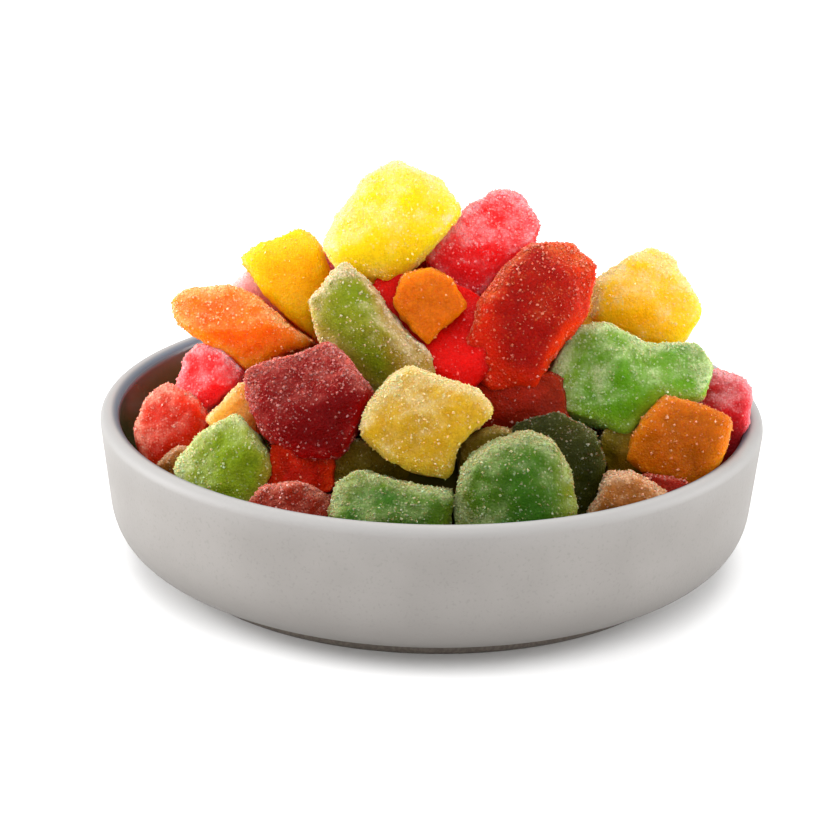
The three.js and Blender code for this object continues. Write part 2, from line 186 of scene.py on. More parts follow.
# The cubes on the show side. at is the middle of a cube, depth its thickness from front to
# back, and corners its outline as seen from the front: steps to the right and up from the
# middle, anticlockwise. faces are the flat faces cut on its front: the bearing in which each
# slopes back, its slope, and how far from the middle it starts. frost is how thickly fine
# sugar coats it, from 0 to 1, and sugar how many large crystals lie on it.
SHOWN_JELLIES = [
    {"name": "lemon_top", "flavour": "lemon", "frost": 0.8, "sugar": 0.55,
     "at": (-10, 0, 79), "depth": 28,
     "faces": [(135, 0.55, 3), (40, 0.5, 4), (270, 0.23, 5)],
     "corners": [(1, 15), (-7, 10), (-12, 2), (-16, -5), (-11, -11), (0, -14), (8, -7), (16, 3), (11, 10)]},
    {"name": "raspberry_top", "flavour": "raspberry", "frost": 0.8, "sugar": 0.8,
     "at": (11, 6, 73), "depth": 24,
     "faces": [(75, 0.6, 0), (255, 0.25, 2), (0, 0.6, 8)],
     "corners": [(4, 13), (-3, 9), (-9, 3), (-13, -4), (-8, -10), (-1, -13), (6, -5), (12, 1),
                 (13, 5), (9, 11)]},
    {"name": "blood_orange", "flavour": "blood_orange", "frost": 0.35, "sugar": 0.6,
     "at": (21, -14, 62), "depth": 26,
     "faces": [(80, 0.9, 10), (0, 0.9, 9), (230, 0.25, 6)],
     "corners": [(10, 17), (1, 17), (-5, 11), (-11, 3), (-15, -9), (-8, -17), (2, -17), (8, -6),
                 (14, 1), (15, 12)]},
    {"name": "gold_right", "flavour": "gold", "frost": 0.75, "sugar": 0.5,
     "at": (50, 14, 58), "depth": 24,
     "faces": [(63, 0.65, -1), (243, 0.15, 3), (0, 0.6, 8)],
     "corners": [(1, 12), (-5, 9), (-12, 4), (-13, -5), (-1, -11), (5, -12), (10, -9), (13, -3),
                 (10, 4), (6, 10)]},
    {"name": "green_wing", "flavour": "green", "frost": 0.8, "sugar": 0.7,
     "at": (44, -16, 48), "depth": 24,
     "faces": [(150, 0.4, 4), (60, 0.6, 2), (300, 0.25, 5)],
     "corners": [(16, 9), (5, 8), (-4, 13), (-12, 12), (-19, -1), (-20, -5), (-11, -9), (0, -13),
                 (7, -6), (17, -4), (20, 3)]},
    {"name": "amber_right", "flavour": "copper", "frost": 0.2, "sugar": 0.25,
     "at": (55, -26, 37), "depth": 22,
     "faces": [(200, 0.5, 5), (75, 0.5, 6), (320, 0.2, 5)],
     "corners": [(5, 9), (-4, 11), (-9, 4), (-12, -4), (-6, -7), (3, -11), (9, -7), (12, 0), (12, 6)]},
    {"name": "raspberry_right", "flavour": "rose", "frost": 1.0, "sugar": 0.5,
     "at": (64, -2, 38), "depth": 30,
     "corners": [(8, 6), (0, 8), (-9, 7), (-11, -5), (-5, -15), (4, -17), (9, -9), (10, 3)]},
    {"name": "caramel_right", "flavour": "caramel", "frost": 0.45, "sugar": 0.5,
     "at": (44, -42, 27), "depth": 27,
     "corners": [(1, 8), (-5, 8), (-9, 0), (-9, -8), (2, -9), (9, -4), (8, 4)]},
    {"name": "green_front", "flavour": "fern", "frost": 0.65, "sugar": 0.8,
     "at": (18, -49, 34), "depth": 30,
     "faces": [(90, 0.8, 6), (190, 0.7, 7), (0, 0.7, 8)],
     "corners": [(8, 11), (3, 13), (-5, 10), (-11, 5), (-13, -4), (-12, -13), (12, -12), (14, -3),
                 (12, 5)]},
    {"name": "honey_front", "flavour": "honey", "frost": 0.75, "sugar": 0.9,
     "at": (-1, -40, 46), "depth": 22,
     "faces": [(110, 0.4, 4), (0, 0.5, 6), (240, 0.2, 5)],
     "corners": [(3, 10), (-4, 12), (-8, 10), (-13, 4), (-15, -3), (-9, -8), (0, -12), (5, -12),
                 (7, -5), (11, -1), (15, 3), (11, 7)]},
    {"name": "burgundy", "flavour": "burgundy", "frost": 0.55, "sugar": 1,
     "at": (-27, -34, 48), "depth": 26,
     "faces": [(105, 0.7, 0), (300, 0.23, 2), (200, 0.6, 7)],
     "corners": [(4, 13), (-5, 10), (-14, 7), (-14, 1), (-10, -8), (-2, -13), (7, -12), (11, -6),
                 (14, 2), (9, 9)]},
    {"name": "olive", "flavour": "olive", "frost": 0.65, "sugar": 0.8,
     "at": (-13, -18, 61), "depth": 24,
     "faces": [(45, 0.7, 1), (225, 0.7, 0), (135, 0.5, 9)],
     "corners": [(-7, 14), (-11, 10), (-15, 5), (-13, -2), (-9, -12), (4, -18), (15, -13), (15, -9),
                 (7, -2), (-2, 10)]},
    {"name": "orange_left", "flavour": "orange", "frost": 0.45, "sugar": 0.45,
     "at": (-44, -2, 54), "depth": 24,
     "faces": [(95, 0.9, 1), (270, 0.2, 3), (200, 0.4, 8)],
     "corners": [(-3, 10), (-14, 9), (-17, 6), (-15, 1), (-7, -4), (2, -10), (10, -5), (17, -3),
                 (10, 2), (4, 7)]},
    {"name": "amber_top", "flavour": "amber", "frost": 0.25, "sugar": 0.15,
     "at": (-34, 8, 62), "depth": 24,
     "faces": [(100, 0.9, 7), (350, 0.6, 6), (230, 0.25, 6)],
     "corners": [(3, 13), (-7, 9), (-11, 6), (-8, 1), (0, -8), (7, -13), (11, -4), (10, 3), (7, 10)]},
    {"name": "orange_middle", "flavour": "tangerine", "frost": 0.12, "sugar": 0.08,
     "at": (-1, -20, 66), "depth": 16,
     "corners": [(5, 7), (0, 9), (-6, 7), (-8, 1), (-4, -5), (0, -9), (4, -4), (8, 1)]},
    {"name": "pink_left", "flavour": "raspberry", "frost": 0.95, "sugar": 0.6,
     "at": (-51, -8, 44), "depth": 20,
     "faces": [(140, 0.7, -1), (300, 0.25, 2), (30, 0.5, 4)],
     "corners": [(3, 7), (-3, 8), (-6, 5), (-8, -2), (-6, -8), (-1, -8), (7, -1), (8, 2)]},
    {"name": "tomato_left", "flavour": "tomato", "frost": 0.65, "sugar": 0.4,
     "at": (-59, -14, 34), "depth": 22,
     "faces": [(130, 0.6, 1), (290, 0.2, 3), (20, 0.5, 4)],
     "corners": [(-2, 10), (-7, 6), (-9, -2), (-6, -10), (2, -10), (9, 1), (6, 7)]},
    {"name": "peach_left", "flavour": "peach", "frost": 0.5, "sugar": 0.4,
     "at": (-44, -24, 42), "depth": 18,
     "corners": [(1, 7), (-6, -2), (-3, -7), (5, -6), (6, 0)]},
    {"name": "lime_left", "flavour": "lime", "frost": 0.6, "sugar": 0.7,
     "at": (-45, -36, 33), "depth": 29,
     "faces": [(140, 0.6, 0), (320, 0.3, 2), (250, 0.25, 6)],
     "corners": [(2, 12), (-6, 7), (-11, 1), (-11, -8), (-2, -12), (9, -7), (11, 0), (7, 7)]},
    {"name": "tan_left", "flavour": "caramel", "frost": 0.55, "sugar": 0.5,
     "at": (-57, -26, 29), "depth": 12,
     "corners": [(0, 5), (-5, 0), (-3, -3), (4, -5), (5, 3)]},
    {"name": "vermilion_low", "flavour": "blood_orange", "frost": 0.15, "sugar": 0.2,
     "at": (-29, -40, 34), "depth": 18,
     "corners": [(7, 5), (-6, 7), (-8, -2), (-2, -7), (8, -4)]},
    {"name": "garnet_front", "flavour": "garnet", "frost": 0.5, "sugar": 0.8,
     "at": (-31, -51, 28), "depth": 26,
     "corners": [(4, 7), (-5, 6), (-10, 1), (-6, -8), (7, -8), (10, 3)]},
    {"name": "green_low", "flavour": "fern", "frost": 0.65, "sugar": 0.7,
     "at": (-9, -54, 30), "depth": 27,
     "faces": [(95, 0.8, 0), (275, 0.2, 4), (0, 0.5, 8)],
     "corners": [(1, 7), (-7, 9), (-11, 6), (-13, 0), (-10, -9), (3, -10), (13, -4), (14, 5)]},
    {"name": "olive_low", "flavour": "umber", "frost": 0.3, "sugar": 0.3,
     "at": (-14, -36, 34), "depth": 18,
     "corners": [(7, 6), (-5, 6), (-10, -3), (-3, -6), (10, -5)]},
    {"name": "bottle_green", "flavour": "shaded_green", "frost": 0.2, "sugar": 0.3,
     "at": (27, -38, 34), "depth": 20,
     "corners": [(1, 13), (-8, 11), (-12, 4), (-7, -7), (2, -13), (8, -9), (12, 2), (9, 9)]},
    {"name": "olive_middle", "flavour": "umber", "frost": 0.35, "sugar": 0.4,
     "at": (13, -38, 38), "depth": 16,
     "corners": [(0, 6), (-6, 3), (-9, -13), (4, -13), (7, 5)]},
    {"name": "cherry_middle", "flavour": "cherry", "frost": 0.1, "sugar": 0.1,
     "at": (-1, -17, 61), "depth": 22,
     "faces": [(90, 0.6, -8), (0, 0.4, 8), (200, 0.3, 8)],
     "corners": [(-2, 12), (-13, 10), (-8, -8), (9, -17), (15, -8), (12, 7)]},
    # Its darker garnet colour is painted shade, where it lies shaded among its neighbours.
    {"name": "cherry_low", "flavour": "garnet", "frost": 0.1, "sugar": 0.1,
     "at": (20, -22, 44), "depth": 20,
     "corners": [(9, 7), (-12, 9), (-12, -5), (0, -9), (11, -4)]},
    {"name": "pink_back", "flavour": "pink", "frost": 0.4, "sugar": 0.3,
     "at": (-41, 14, 56), "depth": 22,
     "corners": [(2, 7), (-3, 7), (-7, 2), (-6, -7), (6, -8), (8, 0)]},
    {"name": "brown_middle", "flavour": "umber", "frost": 0.2, "sugar": 0.2,
     "at": (45, -24, 34), "depth": 20,
     "corners": [(3, 7), (-6, 6), (-7, 0), (-5, -6), (3, -7), (7, 0)]},
    {"name": "garnet_right", "flavour": "garnet", "frost": 0.25, "sugar": 0.3,
     "at": (52, -38, 30), "depth": 16,
     "corners": [(5, 2), (-4, 4), (-6, -1), (-1, -4), (6, -3)]},
]

# The cubes that finish the far side, in rows round the bowl's axis. Angles are in degrees
# from +X, and each cube faces outwards.
BACK_ROWS = (
    {"count": 7, "radius": 58, "height": 26, "from": 14, "to": 148},
    {"count": 5, "radius": 41, "height": 46, "from": 24, "to": 148},
    {"count": 3, "radius": 23, "height": 61, "from": 55, "to": 140},
)
BACK_CORNERS = 6
BACK_REACH = (11, 15.5)
BACK_DEPTH = (20, 25)
BACK_FROST = 0.5
BACK_SUGAR = 0.5
BACK_FLAVOUR_STEP = 3

# Even draws: each state is the last one times a factor, less whole ranges.
DRAW_FACTOR = 48271
DRAW_RANGE = 2147483647
DRAW_SPREAD = 7919
DRAW_START = 104729

# Sugar crystals: eight-sided grains. They gather where frost is thick, a few lie on bare jelly,
# and none lie near the clay or where another cube or the core is within reach.
CRYSTAL_CORNERS = np.array([(1, 0, 0), (0, 1, 0), (-1, 0, 0), (0, -1, 0), (0, 0, 1), (0, 0, -1)]) / 2
CRYSTAL_SIDES = np.array([
    (0, 1, 4), (1, 2, 4), (2, 3, 4), (3, 0, 4),
    (1, 0, 5), (2, 1, 5), (3, 2, 5), (0, 3, 5),
])
CRYSTALS_PER_AREA = 2.6
CRYSTAL_SIZE = (0.36, 0.85)
CRYSTAL_RARITY = 4
CRYSTAL_STRETCH = (0.75, 1.25)
CRYSTAL_SKEW = 0.14
CRYSTAL_STANDS_OUT = 0.12
HIDDEN_REACH = (0.3, 3.0)
SUGAR_ON_BARE = 0.04
SUGAR_GATHERS = 1.5
SUGAR_WALL_GAP = 0.2
SUGAR_FLOOR_GAP = 4
# A crystal's colour: the jelly under its coat, whitened by chance and where the crystal is large,
# the white partly sugar's own and partly painted glint.
SUGAR_COAT = 0.7
SUGAR_WHITE = 0.15
WHITE_AND_GLINT_BY_CHANCE = 0.25
WHITE_AND_GLINT_BY_SIZE = 0.3

# Looks of the jelly: grains and clouds in a metre, the ranges they are read over, and what they do
GRAINS = 1800.0
GRAIN_CROWN = (0.8, 0.1)
GRAIN_COVER = (-0.1, 0.3)
GRAIN_SHADE = (0.92, 1.08)
GRAIN_COLOUR = 0.6
GRAIN_RELIEF = 0.3
GRAIN_RELIEF_SHARE = 0.55
CLOUDS = 260.0
CLOUD_DETAIL = 3.0
CLOUD_RANGE = (0.3, 0.7)
CLOUD_COVER = (0.5, 1.5)
HAZE_COVER = (0.08, 0.9)
HAZE_SHARE = (0.5, 1.0)
JELLY_ROUGHNESS = (0.42, 0.65)
JELLY_SCATTER = 0.85
JELLY_SCATTER_DEPTH = 25
JELLY_SCATTER_BASE = 0.25
JELLY_CLEARNESS = 0.12
JELLY_IOR = 1.4
JELLY_GLOSS = 0.06
SUGAR_SHEEN = 0.06
SHEEN_ROUGHNESS = 0.45
SUGAR_ROUGHNESS = 0.24
SUGAR_IOR = 1.45
SUGAR_SCATTER = 0.75
SUGAR_SCATTER_DEPTH = 1
# Dark red and green for the core: painted shade deep in the heap.
CORE_SHADED_COLOURS = ((110, 14, 6), (62, 56, 8))
CORE_PATCHES = 45.0
CORE_DETAIL = 2.0
CORE_PATCH_RANGE = (0.42, 0.58)
CORE_ROUGHNESS = 0.8

# Looks of the stoneware: colours (sRGB), mottle and speckle in a metre, and their ranges
STONE_OUTSIDE = ((125, 121, 117), (131, 127, 123))
STONE_SPECKLE = (110, 106, 102)
# Painted shade: the belly is darker towards the foot.
STONE_BELLY_SHADE = (110, 106, 102)
# Paler glaze and painted highlight on the lip's top.
STONE_CREST_GLAZE_AND_HIGHLIGHT = (140, 138, 136)
STONE_LIP = (78, 92, 106)
STONE_INSIDE = ((66, 70, 40), (80, 82, 50))
STONE_CLAY = ((84, 76, 68), (100, 91, 82))
MOTTLE = 55.0
MOTTLE_DETAIL = 4.0
MOTTLE_RANGE = (0.3, 0.7)
SPECKLES = 1400.0
SPECKLE_DETAIL = 2.0
SPECKLE_RANGE = (0.56, 0.7)
SPECKLE_SHARE = (0.0, 0.35)
SPECKLE_RELIEF = 0.2
SPECKLE_RELIEF_SHARE = 0.15
CLAY_RANGE = (0.4, 0.6)
GLAZE_ROUGHNESS = (0.55, 0.14)

# Camera: where it looks, from how high and how far, and its lens
AIM_HEIGHT = 34.5
VIEW_ELEVATION = 20.03
VIEW_DISTANCE = 665.2
VIEW_ROLL = 1.0737
LENS = 122.31
SENSOR = 36
SHIFT = (-0.0185, -0.0086)
NEAREST_SEEN = 10

# Stage: a pale floor, even light all round, and soft boxes aimed at the heap
FLOOR_REACH = 2500
FLOOR_POINTS = 9
FLOOR_COLOUR = (0.85, 0.85, 0.85, 1)
FLOOR_ROUGHNESS = 0.9
WORLD_COLOUR = (1, 1, 1, 1)
WORLD_STRENGTH = 0.68
LAMPS = (
    {"name": "over", "at": (-40, -400, 830), "size": (1000, 900), "radiance": 2.0},
    {"name": "left", "at": (-900, 60, 330), "size": (600, 600), "radiance": 9.2},
    {"name": "right", "at": (900, 60, 300), "size": (600, 600), "radiance": 6.2},
    {"name": "behind", "at": (0, 650, 950), "size": (1400, 700), "radiance": 3.2},
    {"name": "front", "at": (0, -900, 320), "size": (1200, 400), "radiance": 1.7},
)


# Number helpers

def linear(colour):
    """An sRGB colour, 0 to 255, as linear light with full alpha."""
    parts = [value / 255 for value in colour]
    return tuple(p / 12.92 if p <= 0.04045 else ((p + 0.055) / 1.055) ** 2.4 for p in parts) + (1.0,)


def smooth_step(low, high, values):
    """A smooth rise from 0 at low to 1 at high, or a fall where high is below low."""
    share = np.clip((values - low) / (high - low), 0, 1)
    return share * share * (3 - 2 * share)


def band(limits, values):
    """A smooth rise and fall: where it starts, is full, begins to fade and ends."""
    start, full, fading, end = limits
    return smooth_step(start, full, values) * (1 - smooth_step(fading, end, values))


def blend(first, second, share):
    """Colours between two colours, one for each share."""
    share = share[:, None]
    return (1 - share) * first + share * second


def unit(vectors):
    """Vectors brought to a length of one."""
    return vectors / np.maximum(np.linalg.norm(vectors, axis=1, keepdims=True), TINY)


def seeded_draws(seed):
    """A repeatable stream of even draws between a low and a high value."""
    state = seed * DRAW_SPREAD + DRAW_START

    def draw(bounds):
        nonlocal state
        state = state * DRAW_FACTOR % DRAW_RANGE
        return bounds[0] + (bounds[1] - bounds[0]) * state / DRAW_RANGE
    return draw


def rough(points, width, seed):
    """Smooth noise from -1 to 1 at each point, with lumps of that width."""
    offset = Vector([seed * part for part in NOISE_SHIFT])
    return np.array([noise.noise(Vector(point) / width + offset) for point in points])


# Mesh helpers

def make_piece(name, points, faces, smooth=True):
    """A mesh object from points in millimetres, standing in the frame."""
    mesh = bpy.data.meshes.new(name)
    mesh.from_pydata((np.asarray(points) * MM).tolist(), [], [list(face) for face in faces])
    mesh.polygons.foreach_set("use_smooth", [smooth] * len(mesh.polygons))
    mesh.update()
    piece = bpy.data.objects.new(name, mesh)
    bpy.context.scene.collection.objects.link(piece)
    return piece


def paint(piece, name, values):
    """Stores one number for each vertex, for the piece's material to read."""
    layer = piece.data.attributes.new(name, "FLOAT", "POINT")
    layer.data.foreach_set("value", np.asarray(values, np.float32))


def paint_colour(piece, name, colours):
    """Stores one colour for each vertex, for the piece's material to read."""
    layer = piece.data.attributes.new(name, "FLOAT_COLOR", "POINT")
    layer.data.foreach_set("color", np.asarray(colours, np.float32).ravel())


def curve_points(start, bend, end, steps):
    """Points on a quadratic curve, without its start."""
    share = np.linspace(0, 1, steps + 1)[1:, None]
    start, bend, end = (np.array(point, float) for point in (start, bend, end))
    return list((1 - share) ** 2 * start + 2 * share * (1 - share) * bend + share ** 2 * end)


def arc_points(centre, radius, first, last, steps):
    """Points on an arc from one angle to another, in degrees."""
    angles = np.radians(np.linspace(first, last, steps + 1))
    return [np.array(centre) + radius * np.array((math.cos(a), math.sin(a))) for a in angles]


def line_points(start, end, steps):
    """Points on a straight line, without its start."""
    start, end = np.array(start, float), np.array(end, float)
    return [start + (end - start) * step / steps for step in range(1, steps + 1)]


def turned(profile, segments):
    """A profile of (radius, height) points turned about Z, closed at both ends by a fan."""
    profile = np.array(profile, float)
    angles = np.linspace(0, 2 * math.pi, segments, endpoint=False)
    ring = np.stack((np.cos(angles), np.sin(angles)), axis=1)
    rows = len(profile)
    points = np.zeros((rows, segments, 3))
    points[:, :, :2] = profile[:, None, :1] * ring[None]
    points[:, :, 2] = profile[:, 1:]
    faces = []
    for row in range(rows - 1):
        for side in range(segments):
            after = (side + 1) % segments
            near, far = row * segments, (row + 1) * segments
            faces.append((near + side, near + after, far + after, far + side))
    faces.append(tuple(range(segments - 1, -1, -1)))
    faces.append(tuple(range((rows - 1) * segments, rows * segments)))
    return points.reshape(-1, 3), faces


def grid_quads(size):
    """The quads of a square grid with that many points on a side."""
    corner = np.arange(size ** 2).reshape(size, size)
    around = (corner[:-1, :-1], corner[1:, :-1], corner[1:, 1:], corner[:-1, 1:])
    return np.stack(around, axis=2).reshape(-1, 4)


@functools.lru_cache
def even_directions(steps):
    """Directions spread evenly over a ball, from the grids on a box's six sides, and their quads."""
    ticks = np.tan(np.linspace(-math.pi / 4, math.pi / 4, steps + 1))
    across, up = np.meshgrid(ticks, ticks, indexing="ij")
    ones = np.ones_like(across)
    sides = ((ones, across, up), (-ones, up, across), (up, ones, across),
             (across, -ones, up), (across, up, ones), (up, across, -ones))
    points = np.concatenate([np.stack(side, axis=2).reshape(-1, 3) for side in sides])
    quads = grid_quads(steps + 1)
    faces = np.concatenate([quads + side * across.size for side in range(len(sides))])
    kept, place = np.unique(np.round(points, MERGE_DIGITS), axis=0, return_inverse=True)
    return unit(kept), place.ravel()[faces]


def crossed(corners):
    """The cross product of each quad's diagonals: along its normal, and twice its area long."""
    return np.cross(corners[:, 2] - corners[:, 0], corners[:, 3] - corners[:, 1])


def shared_out(values, faces, count):
    """The sum at each point of the values of the faces round it."""
    total = np.zeros((count, values.shape[1]))
    for corner in range(faces.shape[1]):
        np.add.at(total, faces[:, corner], values)
    return total


def vertex_normals(points, faces):
    """The normal at each point, from the quads round it."""
    return unit(shared_out(crossed(points[faces]), faces, len(points)))


def edges(normals, faces, rounds):
    """How near each point is to an edge, from 0 to 1: there the normals around it differ."""
    count = np.bincount(faces.ravel(), minlength=len(normals))[:, None]
    for _ in range(rounds):
        normals = shared_out(normals[faces].mean(axis=1), faces, len(normals)) / count
    return smooth_step(*EDGE_BEND, 1 - np.linalg.norm(normals, axis=1))


# Bowl

def inside_profile(clearance):
    """The bowl's inside from the lip down to the floor, moved off the clay by clearance."""
    wall_foot = BOWL_RADIUS - LIP_THICKNESS - WALL_FLARE - clearance
    floor = FLOOR_HEIGHT + clearance
    lip = (BOWL_RADIUS - LIP_RADIUS, BOWL_HEIGHT - LIP_RADIUS)
    wall_end = (wall_foot, WALL_START + INNER_CURVE_RISE)
    bend = (wall_foot - INNER_CURVE_INSET, floor)
    floor_edge = (FLOOR_RADIUS, floor)
    profile = arc_points(lip, LIP_RADIUS + clearance, 90, 180, CURVE_STEPS)
    profile += line_points(profile[-1], wall_end, CURVE_STEPS)
    profile += curve_points(wall_end, bend, floor_edge, CURVE_STEPS)
    profile += line_points(floor_edge, (FLOOR_MIDDLE, floor), CURVE_STEPS)
    return np.array(profile)


def outside_profile():
    """The bowl's outside from the middle of the underside up to the lip."""
    recess_edge = (FOOT_RADIUS - FOOT_WIDTH - FOOT_RECESS, FOOT_RECESS)
    wall_foot = BOWL_RADIUS - WALL_FLARE
    step_edge = (FOOT_RADIUS + FOOT_STEP, FOOT_HEIGHT)
    bend = (wall_foot - BELLY_INSET, FOOT_HEIGHT + BELLY_RISE)
    lip = (BOWL_RADIUS - LIP_RADIUS, BOWL_HEIGHT - LIP_RADIUS)
    profile = line_points((0, FOOT_RECESS), recess_edge, CURVE_STEPS)
    profile += line_points(recess_edge, (FOOT_RADIUS - FOOT_WIDTH, 0), SLOPE_STEPS)
    profile += line_points(profile[-1], (FOOT_RADIUS - FOOT_BEVEL, 0), FOOT_STEPS)
    profile += line_points(profile[-1], (FOOT_RADIUS, FOOT_BEVEL), 1)
    profile += line_points(profile[-1], (FOOT_RADIUS, FOOT_HEIGHT), FOOT_STEPS)
    profile += line_points(profile[-1], step_edge, SLOPE_STEPS)
    profile += curve_points(step_edge, bend, (wall_foot, WALL_START), 2 * CURVE_STEPS)
    profile += line_points(profile[-1], (BOWL_RADIUS, lip[1]), CURVE_STEPS)
    profile += arc_points(lip, LIP_RADIUS, 0, 90, CURVE_STEPS)[1:]
    return np.array(profile)


def make_bowl():
    """The bowl, painted with how much of each glaze lies where, with painted shade on its belly and painted
    highlight on its lip's crest.
    """
    outside, inside = outside_profile(), inside_profile(0)[1:]
    profile = np.concatenate((outside, inside))
    points, faces = turned(profile, BOWL_SEGMENTS)
    bowl = make_piece("stoneware_bowl", points, faces)
    order = np.arange(len(profile)) - len(outside)
    heights = profile[:, 1]
    glazes = {
        "glaze": smooth_step(*INNER_GLAZE, order),
        "lip": band(LIP_LINE, order),
        # Paler glaze and painted highlight on the lip's top.
        "crest_glaze_and_highlight": band(LIP_CREST_GLAZE_AND_HIGHLIGHT, order),
        "raw": (1 - smooth_step(*BARE_CLAY, heights)) * (order < 0),
        # Painted shade, darker towards the foot.
        "belly_painted_shade": (1 - smooth_step(*BELLY_PAINTED_SHADE, heights)) * (order < 0),
    }
    for name, values in glazes.items():
        paint(bowl, name, np.repeat(values, BOWL_SEGMENTS))
    return bowl


@functools.lru_cache
def hollow_profile():
    """The bowl's hollow, a gap clear of the clay, in order of height."""
    profile = inside_profile(GAP)
    return profile[np.argsort(profile[:, 1], kind="stable")]


def hollow_radius(heights):
    """The hollow's radius at each height, and the bowl's own radius above the lip."""
    profile = hollow_profile()
    radii = np.interp(heights, profile[:, 1], profile[:, 0])
    return np.where(heights > BOWL_HEIGHT + GAP, BOWL_RADIUS - GAP, radii)


def kept_in_bowl(points):
    """Points moved straight in or up where they would cross the clay."""
    points = points.copy()
    points[:, 2] = np.maximum(points[:, 2], FLOOR_HEIGHT + GAP)
    radii = np.hypot(points[:, 0], points[:, 1])
    limit = hollow_radius(points[:, 2])
    points[:, :2] *= np.minimum(1, limit / np.maximum(radii, TINY))[:, None]
    return points


# Heap

def back_jellies():
    """The cubes of the far side, each with an outline of its own."""
    draw = seeded_draws(SEED)
    rows = []
    for row in BACK_ROWS:
        for number in range(row["count"]):
            angle = row["from"] + (row["to"] - row["from"]) * number / (row["count"] - 1)
            turn = draw((0, 1))
            corners = []
            for corner in range(BACK_CORNERS):
                bearing = 2 * math.pi * (corner + turn) / BACK_CORNERS
                reach = draw(BACK_REACH)
                corners.append((reach * math.cos(bearing), reach * math.sin(bearing)))
            right = row["radius"] * math.cos(math.radians(angle))
            back = row["radius"] * math.sin(math.radians(angle))
            rows.append({
                "name": f"back_{len(rows) + 1}",
                "flavour": BACK_FLAVOURS[len(rows) * BACK_FLAVOUR_STEP % len(BACK_FLAVOURS)],
                "frost": BACK_FROST, "sugar": BACK_SUGAR,
                "at": (right, back, row["height"]), "depth": draw(BACK_DEPTH),
                "corners": corners, "facing": angle + 90,
            })
    return rows


def outline_radii(corners):
    """The radius of a cube's outline at even angles: straight sides with cut, rounded corners."""
    start = np.array(corners, float)
    end = np.roll(start, -1, axis=0)
    share = np.linspace(CORNER_CUT, 1 - CORNER_CUT, SIDE_POINTS)[None, :, None]
    along = (start[:, None] + share * (end - start)[:, None]).reshape(-1, 2)
    bearings = np.arctan2(along[:, 1], along[:, 0])
    lengths = np.hypot(along[:, 0], along[:, 1])
    radii = np.interp(OUTLINE_ANGLES, bearings, lengths, period=2 * math.pi)
    steps = np.arange(-ROUNDING_REACH, ROUNDING_REACH + 1) * 360 / OUTLINE_ANGLES.size
    weights = np.exp(-0.5 * (steps / CORNER_ROUNDING) ** 2)
    wrapped = np.concatenate((radii[-ROUNDING_REACH:], radii, radii[:ROUNDING_REACH]))
    return np.convolve(wrapped, weights / weights.sum(), mode="valid")


